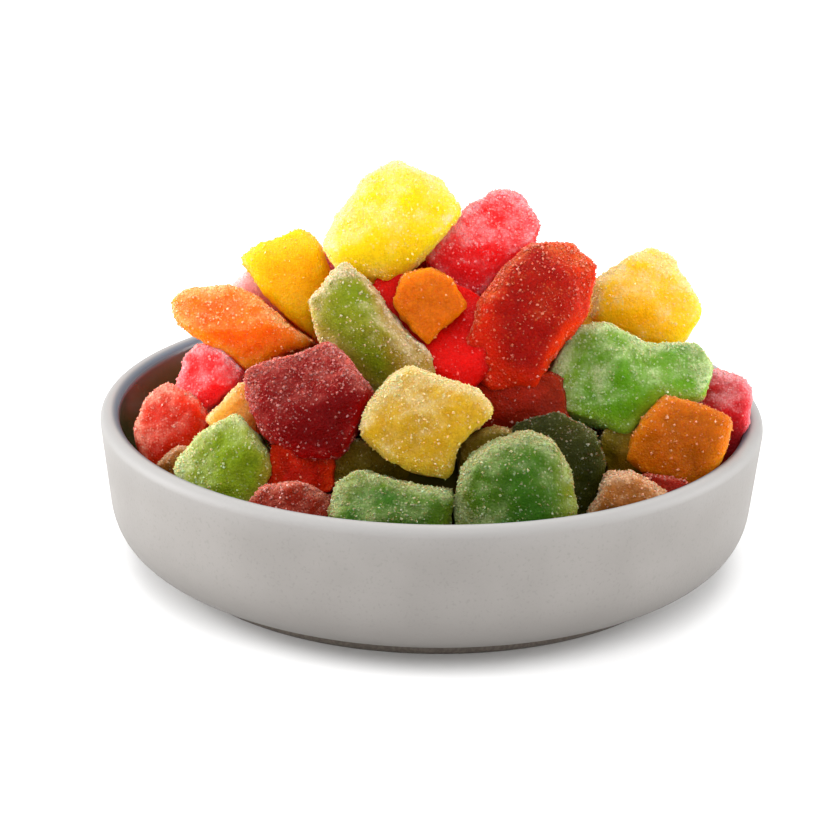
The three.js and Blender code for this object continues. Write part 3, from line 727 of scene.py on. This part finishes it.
class Jelly:
    """One cube: its own axes are right, back and up, with its middle at the origin."""

    def __init__(self, row, number):
        self.row = row
        self.name = row["name"]
        self.seed = SEED + number
        self.half = row["depth"] / 2
        self.at = np.array(row["at"], float)
        turn = Matrix.Rotation(math.radians(row.get("facing", 0)), 3, "Z")
        self.turn = np.array(turn @ Matrix.Rotation(-math.radians(LEAN_BACK), 3, "X"))
        self.radii = outline_radii(row["corners"])
        self.faces = self.flat_faces()
        colours = FLAVOURS[row["flavour"]]
        self.deep, self.clear, self.coat = (np.array(linear(colour)) for colour in colours)

    def flat_faces(self):
        """The flat faces on the front, as rows of right, up, slope and start."""
        if "faces" in self.row:
            stated = self.row["faces"]
            chosen = [(math.radians(bearing), slope, start) for bearing, slope, start in stated]
        else:
            draw = seeded_draws(self.seed)
            chosen = []
            for number in range(FACES):
                bearing = 2 * math.pi * (number + draw((0, 1))) / FACES
                slope = draw(FACE_SLOPE)
                chosen.append((bearing, slope, draw(FACE_START)))
        return np.array([(math.cos(b), math.sin(b), slope, start) for b, slope, start in chosen])

    def outline(self, angles):
        return np.interp(angles, OUTLINE_ANGLES, self.radii, period=2 * math.pi)

    def cuts(self, x, z):
        """How far back each flat face lies at a point, one column for each face."""
        right, up, slope, start = (column[None] for column in self.faces.T)
        return slope * (right * x[:, None] + up * z[:, None] - start) - FACE_DEPTH * self.half

    def surface(self, steps):
        """Points of the cube in its own axes, its quads, and how near each point is to the
        outline and to a sharp edge, from 0 to 1."""
        ways, quads = even_directions(steps)
        flat = np.hypot(ways[:, 0], ways[:, 2])
        power = EDGE_SQUARENESS
        scale = (flat ** power + np.abs(ways[:, 1]) ** power) ** (-1 / power)
        angles = np.arctan2(ways[:, 2], ways[:, 0])
        reach = self.outline(angles) * flat * scale
        x, z = reach * np.cos(angles), reach * np.sin(angles)
        y = ways[:, 1] * scale * self.half
        cuts = np.column_stack((y, self.cuts(x, z)))
        nearest = cuts.max(axis=1)
        rounding = FACE_BLEND * np.log(np.exp((cuts - nearest[:, None]) / FACE_BLEND).sum(axis=1))
        y = np.where(y < 0, np.minimum(nearest + rounding, 0), y)
        points = np.column_stack((x, y, z))
        normals = vertex_normals(points, quads)
        for width, height in LUMPS:
            points = points + normals * (height * rough(points, width, self.seed))[:, None]
        return points, quads, flat * scale, edges(normals, quads, steps // STEPS_PER_ROUND)

    def build(self, steps):
        """Makes the cube's points and quads, and at each point its colour, with painted light, and its
        frost.
        """
        points, self.quads, reach, edge = self.surface(steps)
        self.points = kept_in_bowl(points @ self.turn.T + self.at)
        normals = vertex_normals(self.points, self.quads)
        patches = rough(self.points, PATCH_WIDTH, self.seed + PATCH_SEED)
        drift = rough(self.points, DRIFT_WIDTH, self.seed + DRIFT_SEED)
        upward = normals[:, 2] - LIGHT_LEAN * normals[:, 0]
        lit = smooth_step(*LIT, upward)
        unlit = smooth_step(*UNLIT, -upward)
        # Painted light: the rim is painted brighter, as light shining through thin jelly.
        painted_rim_glow = smooth_step(*PAINTED_GLOW_RIM, reach) * (PAINTED_GLOW_AT_RIM + drift)
        painted_glow_and_tone = np.clip(THIN_EVERYWHERE + painted_rim_glow + THIN_IN_PATCHES * patches, 0, 1)
        # Painted light: sides facing away from the light are painted brighter, as light shining through.
        painted_glow = np.minimum(SHINE_THROUGH * self.clear, 1)
        self.body = blend(blend(self.deep, self.clear, painted_glow_and_tone), painted_glow, SHINE_SHARE * unlit)
        ridge = np.maximum(smooth_step(*COATED_RIM, reach), edge)
        # Painted highlight: the pale sugar coat is heavier on the sides and ridges the light falls on.
        coat_and_highlight = COAT_AND_HIGHLIGHT_WHERE_LIT * lit + ridge * (COAT_ON_RIDGE + COAT_AND_HIGHLIGHT_ON_LIT_RIDGE * lit)
        coat_and_highlight = coat_and_highlight + COAT_IN_PATCHES * patches + COAT_DRIFT * drift
        self.frost = self.row["frost"] * np.clip(coat_and_highlight, 0, COAT_LIMIT)

    def own_places(self, points):
        """Points in the cube's own axes, and how far out each lies, as a share of the cube's size."""
        own = (points - self.at) @ self.turn
        radii = np.hypot(own[:, 0], own[:, 2])
        share = radii / self.outline(np.arctan2(own[:, 2], own[:, 0]))
        power = EDGE_SQUARENESS
        return own, (share ** power + (np.abs(own[:, 1]) / self.half) ** power) ** (1 / power)

    def holds(self, points):
        """Whether each point lies inside the cube."""
        own, share = self.own_places(points)
        return (share < 1) & (own[:, 1] > self.cuts(own[:, 0], own[:, 2]).max(axis=1))

    def take_glow(self, others):
        """Paints light from the cubes around into the jelly where they are near: painted glow."""
        for other in others:
            share = other.own_places(self.points)[1]
            painted_glow_colour = np.minimum(self.clear * (GLOW_OWN + GLOW_TINT * other.clear), 1)
            self.body = blend(self.body, painted_glow_colour, GLOW * smooth_step(GLOW_REACH, 1, share))


def core_radius(heights):
    """The radius of the heap's buried core at each height."""
    crown = curve_points(CORE_SHOULDER, CORE_CROWN, (0, CORE_TOP), CORE_CROWN_STEPS)
    crown = np.array([CORE_SHOULDER] + crown)
    radii = np.interp(heights, crown[:, 1], crown[:, 0], left=CORE_RADIUS, right=0)
    return np.maximum(radii - CORE_SINK, 0)


def make_core():
    """The buried middle of the heap, a lumpy dome under the cubes."""
    heights = np.linspace(FLOOR_HEIGHT + GAP, CORE_TOP - CORE_SINK, CORE_RINGS)
    profile = np.column_stack((np.maximum(core_radius(heights), CORE_TIP), heights))
    points, faces = turned(profile, CORE_SEGMENTS)
    inward = CORE_LUMP_DEPTH * np.abs(rough(points, CORE_LUMP_WIDTH, SEED))
    points[:, :2] *= (1 - inward)[:, None]
    return make_piece("heap_core", points, faces)


# Sugar

def sugar_points(jelly, others, generator):
    """Places, normals, jelly colours and sugar colours, partly painted glint, of the crystals on a cube's
    open parts.
    """
    corners = jelly.points[jelly.quads]
    across = crossed(corners)
    area = np.linalg.norm(across, axis=1) / 2
    frost = jelly.frost[jelly.quads].mean(axis=1)
    weight = area * (SUGAR_ON_BARE + frost ** SUGAR_GATHERS)
    count = int(jelly.row["sugar"] * CRYSTALS_PER_AREA * area.sum())
    chosen = generator.choice(len(area), count, p=weight / weight.sum())
    u, v = generator.random((2, count, 1))
    quad = corners[chosen]
    near = (1 - v) * quad[:, 0] + v * quad[:, 3]
    far = (1 - v) * quad[:, 1] + v * quad[:, 2]
    places = (1 - u) * near + u * far
    normals = unit(across)[chosen]
    open_air = np.ones(count, bool)
    for reach in HIDDEN_REACH:
        probe = places + reach * normals
        heights = probe[:, 2]
        radii = np.hypot(probe[:, 0], probe[:, 1])
        open_air &= radii > core_radius(heights)
        open_air &= radii < hollow_radius(heights) - SUGAR_WALL_GAP
        open_air &= heights > FLOOR_HEIGHT + SUGAR_FLOOR_GAP
        for other in others:
            open_air &= ~other.holds(probe)
    kept = chosen[open_air]
    body = jelly.body[jelly.quads].mean(axis=1)[kept]
    under = blend(body, jelly.coat, SUGAR_COAT * np.minimum(frost[kept], 1))
    white_and_glint = np.tile((1 - SUGAR_WHITE) * jelly.coat + SUGAR_WHITE, (len(kept), 1))
    return places[open_air], normals[open_air], under, white_and_glint


def random_turns(count, generator):
    """Rotation matrices spread evenly over all turns."""
    w, x, y, z = unit(generator.normal(size=(count, 4))).T
    rows = (
        (1 - 2 * (y * y + z * z), 2 * (x * y - z * w), 2 * (x * z + y * w)),
        (2 * (x * y + z * w), 1 - 2 * (x * x + z * z), 2 * (y * z - x * w)),
        (2 * (x * z - y * w), 2 * (y * z + x * w), 1 - 2 * (x * x + y * y)),
    )
    return np.array(rows).transpose(2, 0, 1)


def make_sugar(name, places, normals, under, white_and_glint, generator):
    """Crystals as one mesh of uneven eight-sided grains, each half sunk where it lies."""
    count, corners = len(places), len(CRYSTAL_CORNERS)
    growth = generator.random((count, 1)) ** CRYSTAL_RARITY
    size = CRYSTAL_SIZE[0] + (CRYSTAL_SIZE[1] - CRYSTAL_SIZE[0]) * growth
    sides = size * generator.uniform(*CRYSTAL_STRETCH, (count, 3))
    grains = CRYSTAL_CORNERS[None] * sides[:, None]
    grains += generator.uniform(-CRYSTAL_SKEW, CRYSTAL_SKEW, grains.shape) * size[:, None]
    grains = np.einsum("nij,nkj->nki", random_turns(count, generator), grains)
    grains += (places + CRYSTAL_STANDS_OUT * size * normals)[:, None]
    faces = (CRYSTAL_SIDES[None] + corners * np.arange(count)[:, None, None]).reshape(-1, 3)
    piece = make_piece(name, grains.reshape(-1, 3), faces, smooth=False)
    # Paler crystals: partly sugar's own white, partly painted glint.
    shares = WHITE_AND_GLINT_BY_CHANCE * generator.random(count) ** 2 + WHITE_AND_GLINT_BY_SIZE * growth[:, 0]
    paint_colour(piece, "body", np.repeat(blend(under, white_and_glint, shares), corners, axis=0))
    return piece


# Material helpers

def set_inputs(tree, node, inputs):
    """Sets a node's inputs to values, or links them to sockets."""
    for name, value in inputs.items():
        if isinstance(value, bpy.types.NodeSocket):
            tree.links.new(value, node.inputs[name])
        else:
            node.inputs[name].default_value = value


def add_node(tree, kind, inputs, **settings):
    made = tree.nodes.new("ShaderNode" + kind)
    for name, value in settings.items():
        setattr(made, name, value)
    set_inputs(tree, made, inputs)
    return made


def new_material(name):
    """An empty node material, its tree and its shader."""
    material = bpy.data.materials.new(name)
    material.use_nodes = True
    tree = material.node_tree
    return material, tree, tree.nodes["Principled BSDF"]


def own_coordinates(tree):
    """Places in the object's own axes, in metres."""
    return add_node(tree, "TexCoord", {}).outputs["Object"]


def clouds(tree, coords, scale, detail):
    """Soft noise with that many lumps in a metre."""
    inputs = {"Vector": coords, "Scale": scale, "Detail": detail}
    return add_node(tree, "TexNoise", inputs).outputs["Fac"]


def stored(tree, name, kind="Fac"):
    """What the mesh stores for each vertex, a number or a colour."""
    return add_node(tree, "Attribute", {}, attribute_name=name).outputs[kind]


def mixed(tree, share, first, second):
    """A colour between two colours."""
    return add_node(tree, "Mix", {0: share, 6: first, 7: second}, data_type="RGBA").outputs[2]


def ranged(tree, value, given, wanted=(0.0, 1.0)):
    """A value taken smoothly from one range to another."""
    inputs = {"Value": value, "From Min": given[0], "From Max": given[1],
              "To Min": wanted[0], "To Max": wanted[1]}
    return add_node(tree, "MapRange", inputs, interpolation_type="SMOOTHSTEP").outputs["Result"]


def computed(tree, operation, first, second):
    """A sum, difference or product of two values."""
    return add_node(tree, "Math", {0: first, 1: second}, operation=operation).outputs[0]


def relief(tree, height, depth, share):
    """Normals of a fine relief, its depth in millimetres."""
    inputs = {"Height": height, "Strength": share, "Distance": depth * MM}
    return add_node(tree, "Bump", inputs).outputs["Normal"]


# Materials

def jelly_material(flavour):
    """Clear fruit jelly under a coat of fine sugar that thickens where frost is high."""
    deep, _, coat = (linear(colour) for colour in FLAVOURS[flavour])
    brightness = deep[0] + deep[1]
    material, tree, shader = new_material("jelly_" + flavour)
    coords = own_coordinates(tree)
    grain = add_node(tree, "TexVoronoi", {"Vector": coords, "Scale": GRAINS})
    draws = add_node(tree, "SeparateColor", {"Color": grain.outputs["Color"]}).outputs
    cloud = ranged(tree, clouds(tree, coords, CLOUDS, CLOUD_DETAIL), CLOUD_RANGE, CLOUD_COVER)
    # The frost holds painted highlight as well as sugar, and the body colour holds painted light.
    coat_and_highlight = computed(tree, "MULTIPLY", stored(tree, "frost"), cloud)
    covered = ranged(tree, computed(tree, "SUBTRACT", coat_and_highlight, draws["Red"]), GRAIN_COVER)
    crown = ranged(tree, grain.outputs["Distance"], GRAIN_CROWN)
    speck = computed(tree, "MULTIPLY", covered, crown)
    shade = ranged(tree, draws["Green"], (0.0, 1.0), GRAIN_SHADE)
    inside = {0: stored(tree, "body", "Color"), "Scale": shade}
    body = add_node(tree, "VectorMath", inside, operation="SCALE").outputs[0]
    thickness = ranged(tree, draws["Blue"], (0.0, 1.0), HAZE_SHARE)
    haze = computed(tree, "MULTIPLY", ranged(tree, coat_and_highlight, HAZE_COVER), thickness)
    grainy = computed(tree, "MULTIPLY", speck, GRAIN_COLOUR)
    bumps = computed(tree, "ADD", crown, speck)
    set_inputs(tree, shader, {
        "Base Color": mixed(tree, grainy, mixed(tree, haze, body, coat), coat),
        "Roughness": ranged(tree, covered, (0.0, 1.0), JELLY_ROUGHNESS),
        "Normal": relief(tree, bumps, GRAIN_RELIEF, GRAIN_RELIEF_SHARE),
        "Subsurface Weight": JELLY_SCATTER,
        "Subsurface Radius": tuple(JELLY_SCATTER_BASE + value for value in deep[:3]),
        "Subsurface Scale": JELLY_SCATTER_DEPTH * MM * brightness,
        "IOR": JELLY_IOR,
        "Specular IOR Level": JELLY_GLOSS,
        "Transmission Weight": JELLY_CLEARNESS * brightness,
        "Sheen Weight": SUGAR_SHEEN,
        "Sheen Roughness": SHEEN_ROUGHNESS,
        "Sheen Tint": coat,
    })
    return material


def sugar_material():
    """Sugar that takes a tint from the jelly under it, each crystal its own."""
    material, tree, shader = new_material("sugar")
    set_inputs(tree, shader, {
        "Base Color": stored(tree, "body", "Color"),
        "Roughness": SUGAR_ROUGHNESS,
        "IOR": SUGAR_IOR,
        "Subsurface Weight": SUGAR_SCATTER,
        "Subsurface Scale": SUGAR_SCATTER_DEPTH * MM,
    })
    return material


def core_material():
    """Jelly deep in the heap, red in places and green in others, painted dark as shade deep in the heap."""
    material, tree, shader = new_material("jelly_deep_shaded")
    patch = clouds(tree, own_coordinates(tree), CORE_PATCHES, CORE_DETAIL)
    red, green = (linear(colour) for colour in CORE_SHADED_COLOURS)
    set_inputs(tree, shader, {
        "Base Color": mixed(tree, ranged(tree, patch, CORE_PATCH_RANGE), red, green),
        "Roughness": CORE_ROUGHNESS,
        "Specular IOR Level": JELLY_GLOSS,
    })
    return material


def stoneware_material():
    """Matt speckled stoneware outside, glossy dark glaze inside, bare clay on the foot."""
    material, tree, shader = new_material("stoneware")
    coords = own_coordinates(tree)
    mottle = ranged(tree, clouds(tree, coords, MOTTLE, MOTTLE_DETAIL), MOTTLE_RANGE)
    speckle = clouds(tree, coords, SPECKLES, SPECKLE_DETAIL)
    specks = ranged(tree, speckle, SPECKLE_RANGE, SPECKLE_SHARE)
    glaze = stored(tree, "glaze")
    outside = mixed(tree, mottle, *(linear(colour) for colour in STONE_OUTSIDE))
    outside = mixed(tree, specks, outside, linear(STONE_SPECKLE))
    # Painted shade: darker towards the foot.
    outside = mixed(tree, stored(tree, "belly_painted_shade"), outside, linear(STONE_BELLY_SHADE))
    # Paler glaze and painted highlight on the lip's crest.
    outside = mixed(tree, stored(tree, "crest_glaze_and_highlight"), outside, linear(STONE_CREST_GLAZE_AND_HIGHLIGHT))
    inside = mixed(tree, mottle, *(linear(colour) for colour in STONE_INSIDE))
    glazed = mixed(tree, glaze, outside, inside)
    glazed = mixed(tree, stored(tree, "lip"), glazed, linear(STONE_LIP))
    clay = ranged(tree, speckle, CLAY_RANGE)
    clay = mixed(tree, clay, *(linear(colour) for colour in STONE_CLAY))
    set_inputs(tree, shader, {
        "Base Color": mixed(tree, stored(tree, "raw"), glazed, clay),
        "Roughness": ranged(tree, glaze, (0.0, 1.0), GLAZE_ROUGHNESS),
        "Normal": relief(tree, speckle, SPECKLE_RELIEF, SPECKLE_RELIEF_SHARE),
    })
    return material


def floor_material():
    material, tree, shader = new_material("pale_floor")
    set_inputs(tree, shader, {"Base Color": FLOOR_COLOUR, "Roughness": FLOOR_ROUGHNESS})
    return material


# Stage

def make_floor():
    ticks = np.linspace(-FLOOR_REACH, FLOOR_REACH, FLOOR_POINTS)
    across, along = np.meshgrid(ticks, ticks, indexing="ij")
    points = np.stack((across, along, np.zeros_like(across)), axis=2).reshape(-1, 3)
    floor = make_piece("floor", points, grid_quads(FLOOR_POINTS))
    floor.data.materials.append(floor_material())


def make_camera():
    camera = bpy.data.objects.new("camera", bpy.data.cameras.new("camera"))
    bpy.context.scene.collection.objects.link(camera)
    elevation = math.radians(VIEW_ELEVATION)
    away = Vector((0, -math.cos(elevation), math.sin(elevation)))
    turn = away.to_track_quat("Z", "Y").to_matrix().to_4x4()
    roll = Matrix.Rotation(math.radians(VIEW_ROLL), 4, "Z")
    place = Matrix.Translation((Vector((0, 0, AIM_HEIGHT)) + VIEW_DISTANCE * away) * MM)
    camera.matrix_world = place @ turn @ roll
    camera.data.lens = LENS
    camera.data.sensor_width = SENSOR
    camera.data.shift_x, camera.data.shift_y = SHIFT
    camera.data.clip_start = NEAREST_SEEN * MM
    bpy.context.scene.camera = camera


def make_lamp(name, at, size, radiance):
    """A soft box of that size in millimetres, aimed at the heap."""
    lamp = bpy.data.lights.new(name, "AREA")
    lamp.shape = "RECTANGLE"
    lamp.size, lamp.size_y = size[0] * MM, size[1] * MM
    lamp.energy = radiance * math.pi * lamp.size * lamp.size_y
    made = bpy.data.objects.new(name, lamp)
    bpy.context.scene.collection.objects.link(made)
    toward = Vector(at) - Vector((0, 0, AIM_HEIGHT))
    turn = toward.to_track_quat("Z", "Y").to_matrix().to_4x4()
    made.matrix_world = Matrix.Translation(Vector(at) * MM) @ turn


def make_light():
    world = bpy.data.worlds.new("studio")
    world.use_nodes = True
    background = world.node_tree.nodes["Background"]
    set_inputs(world.node_tree, background, {"Color": WORLD_COLOUR, "Strength": WORLD_STRENGTH})
    bpy.context.scene.world = world
    for lamp in LAMPS:
        make_lamp(**lamp)
    bpy.context.scene.view_settings.view_transform = "Standard"


# The object

def finish_piece(piece, node, material):
    """Gives a piece its material, and says what it moves with, replaces and is made of."""
    piece.data.materials.append(material)
    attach(piece, "root")
    if node:
        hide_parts(node)


def others_than(jelly, jellies):
    return [other for other in jellies if other is not jelly]


def make_cubes(jellies):
    """A piece for each cube, with painted glow from its neighbours too."""
    for jelly in jellies:
        jelly.build(BACK_STEPS if "facing" in jelly.row else SHOWN_STEPS)
    materials = {flavour: jelly_material(flavour) for flavour in FLAVOURS}
    for jelly in jellies:
        jelly.take_glow(others_than(jelly, jellies))
        piece = make_piece(jelly.name, jelly.points, jelly.quads.tolist())
        paint(piece, "frost", jelly.frost)
        paint_colour(piece, "body", jelly.body)
        finish_piece(piece, "jelly_heap", materials[jelly.row["flavour"]])


def make_coats(jellies):
    """A piece of sugar for each flavour."""
    generator = np.random.default_rng(SEED)
    material = sugar_material()
    for flavour in FLAVOURS:
        found = []
        for jelly in jellies:
            if jelly.row["flavour"] == flavour:
                found.append(sugar_points(jelly, others_than(jelly, jellies), generator))
        joined = (np.concatenate(parts) for parts in zip(*found))
        finish_piece(make_sugar("sugar_" + flavour, *joined, generator), None, material)


make_camera()
make_light()
make_floor()
finish_piece(make_bowl(), "bowl", stoneware_material())
finish_piece(make_core(), "jelly_heap", core_material())
cubes = [Jelly(row, number) for number, row in enumerate(SHOWN_JELLIES + back_jellies())]
make_cubes(cubes)
make_coats(cubes)
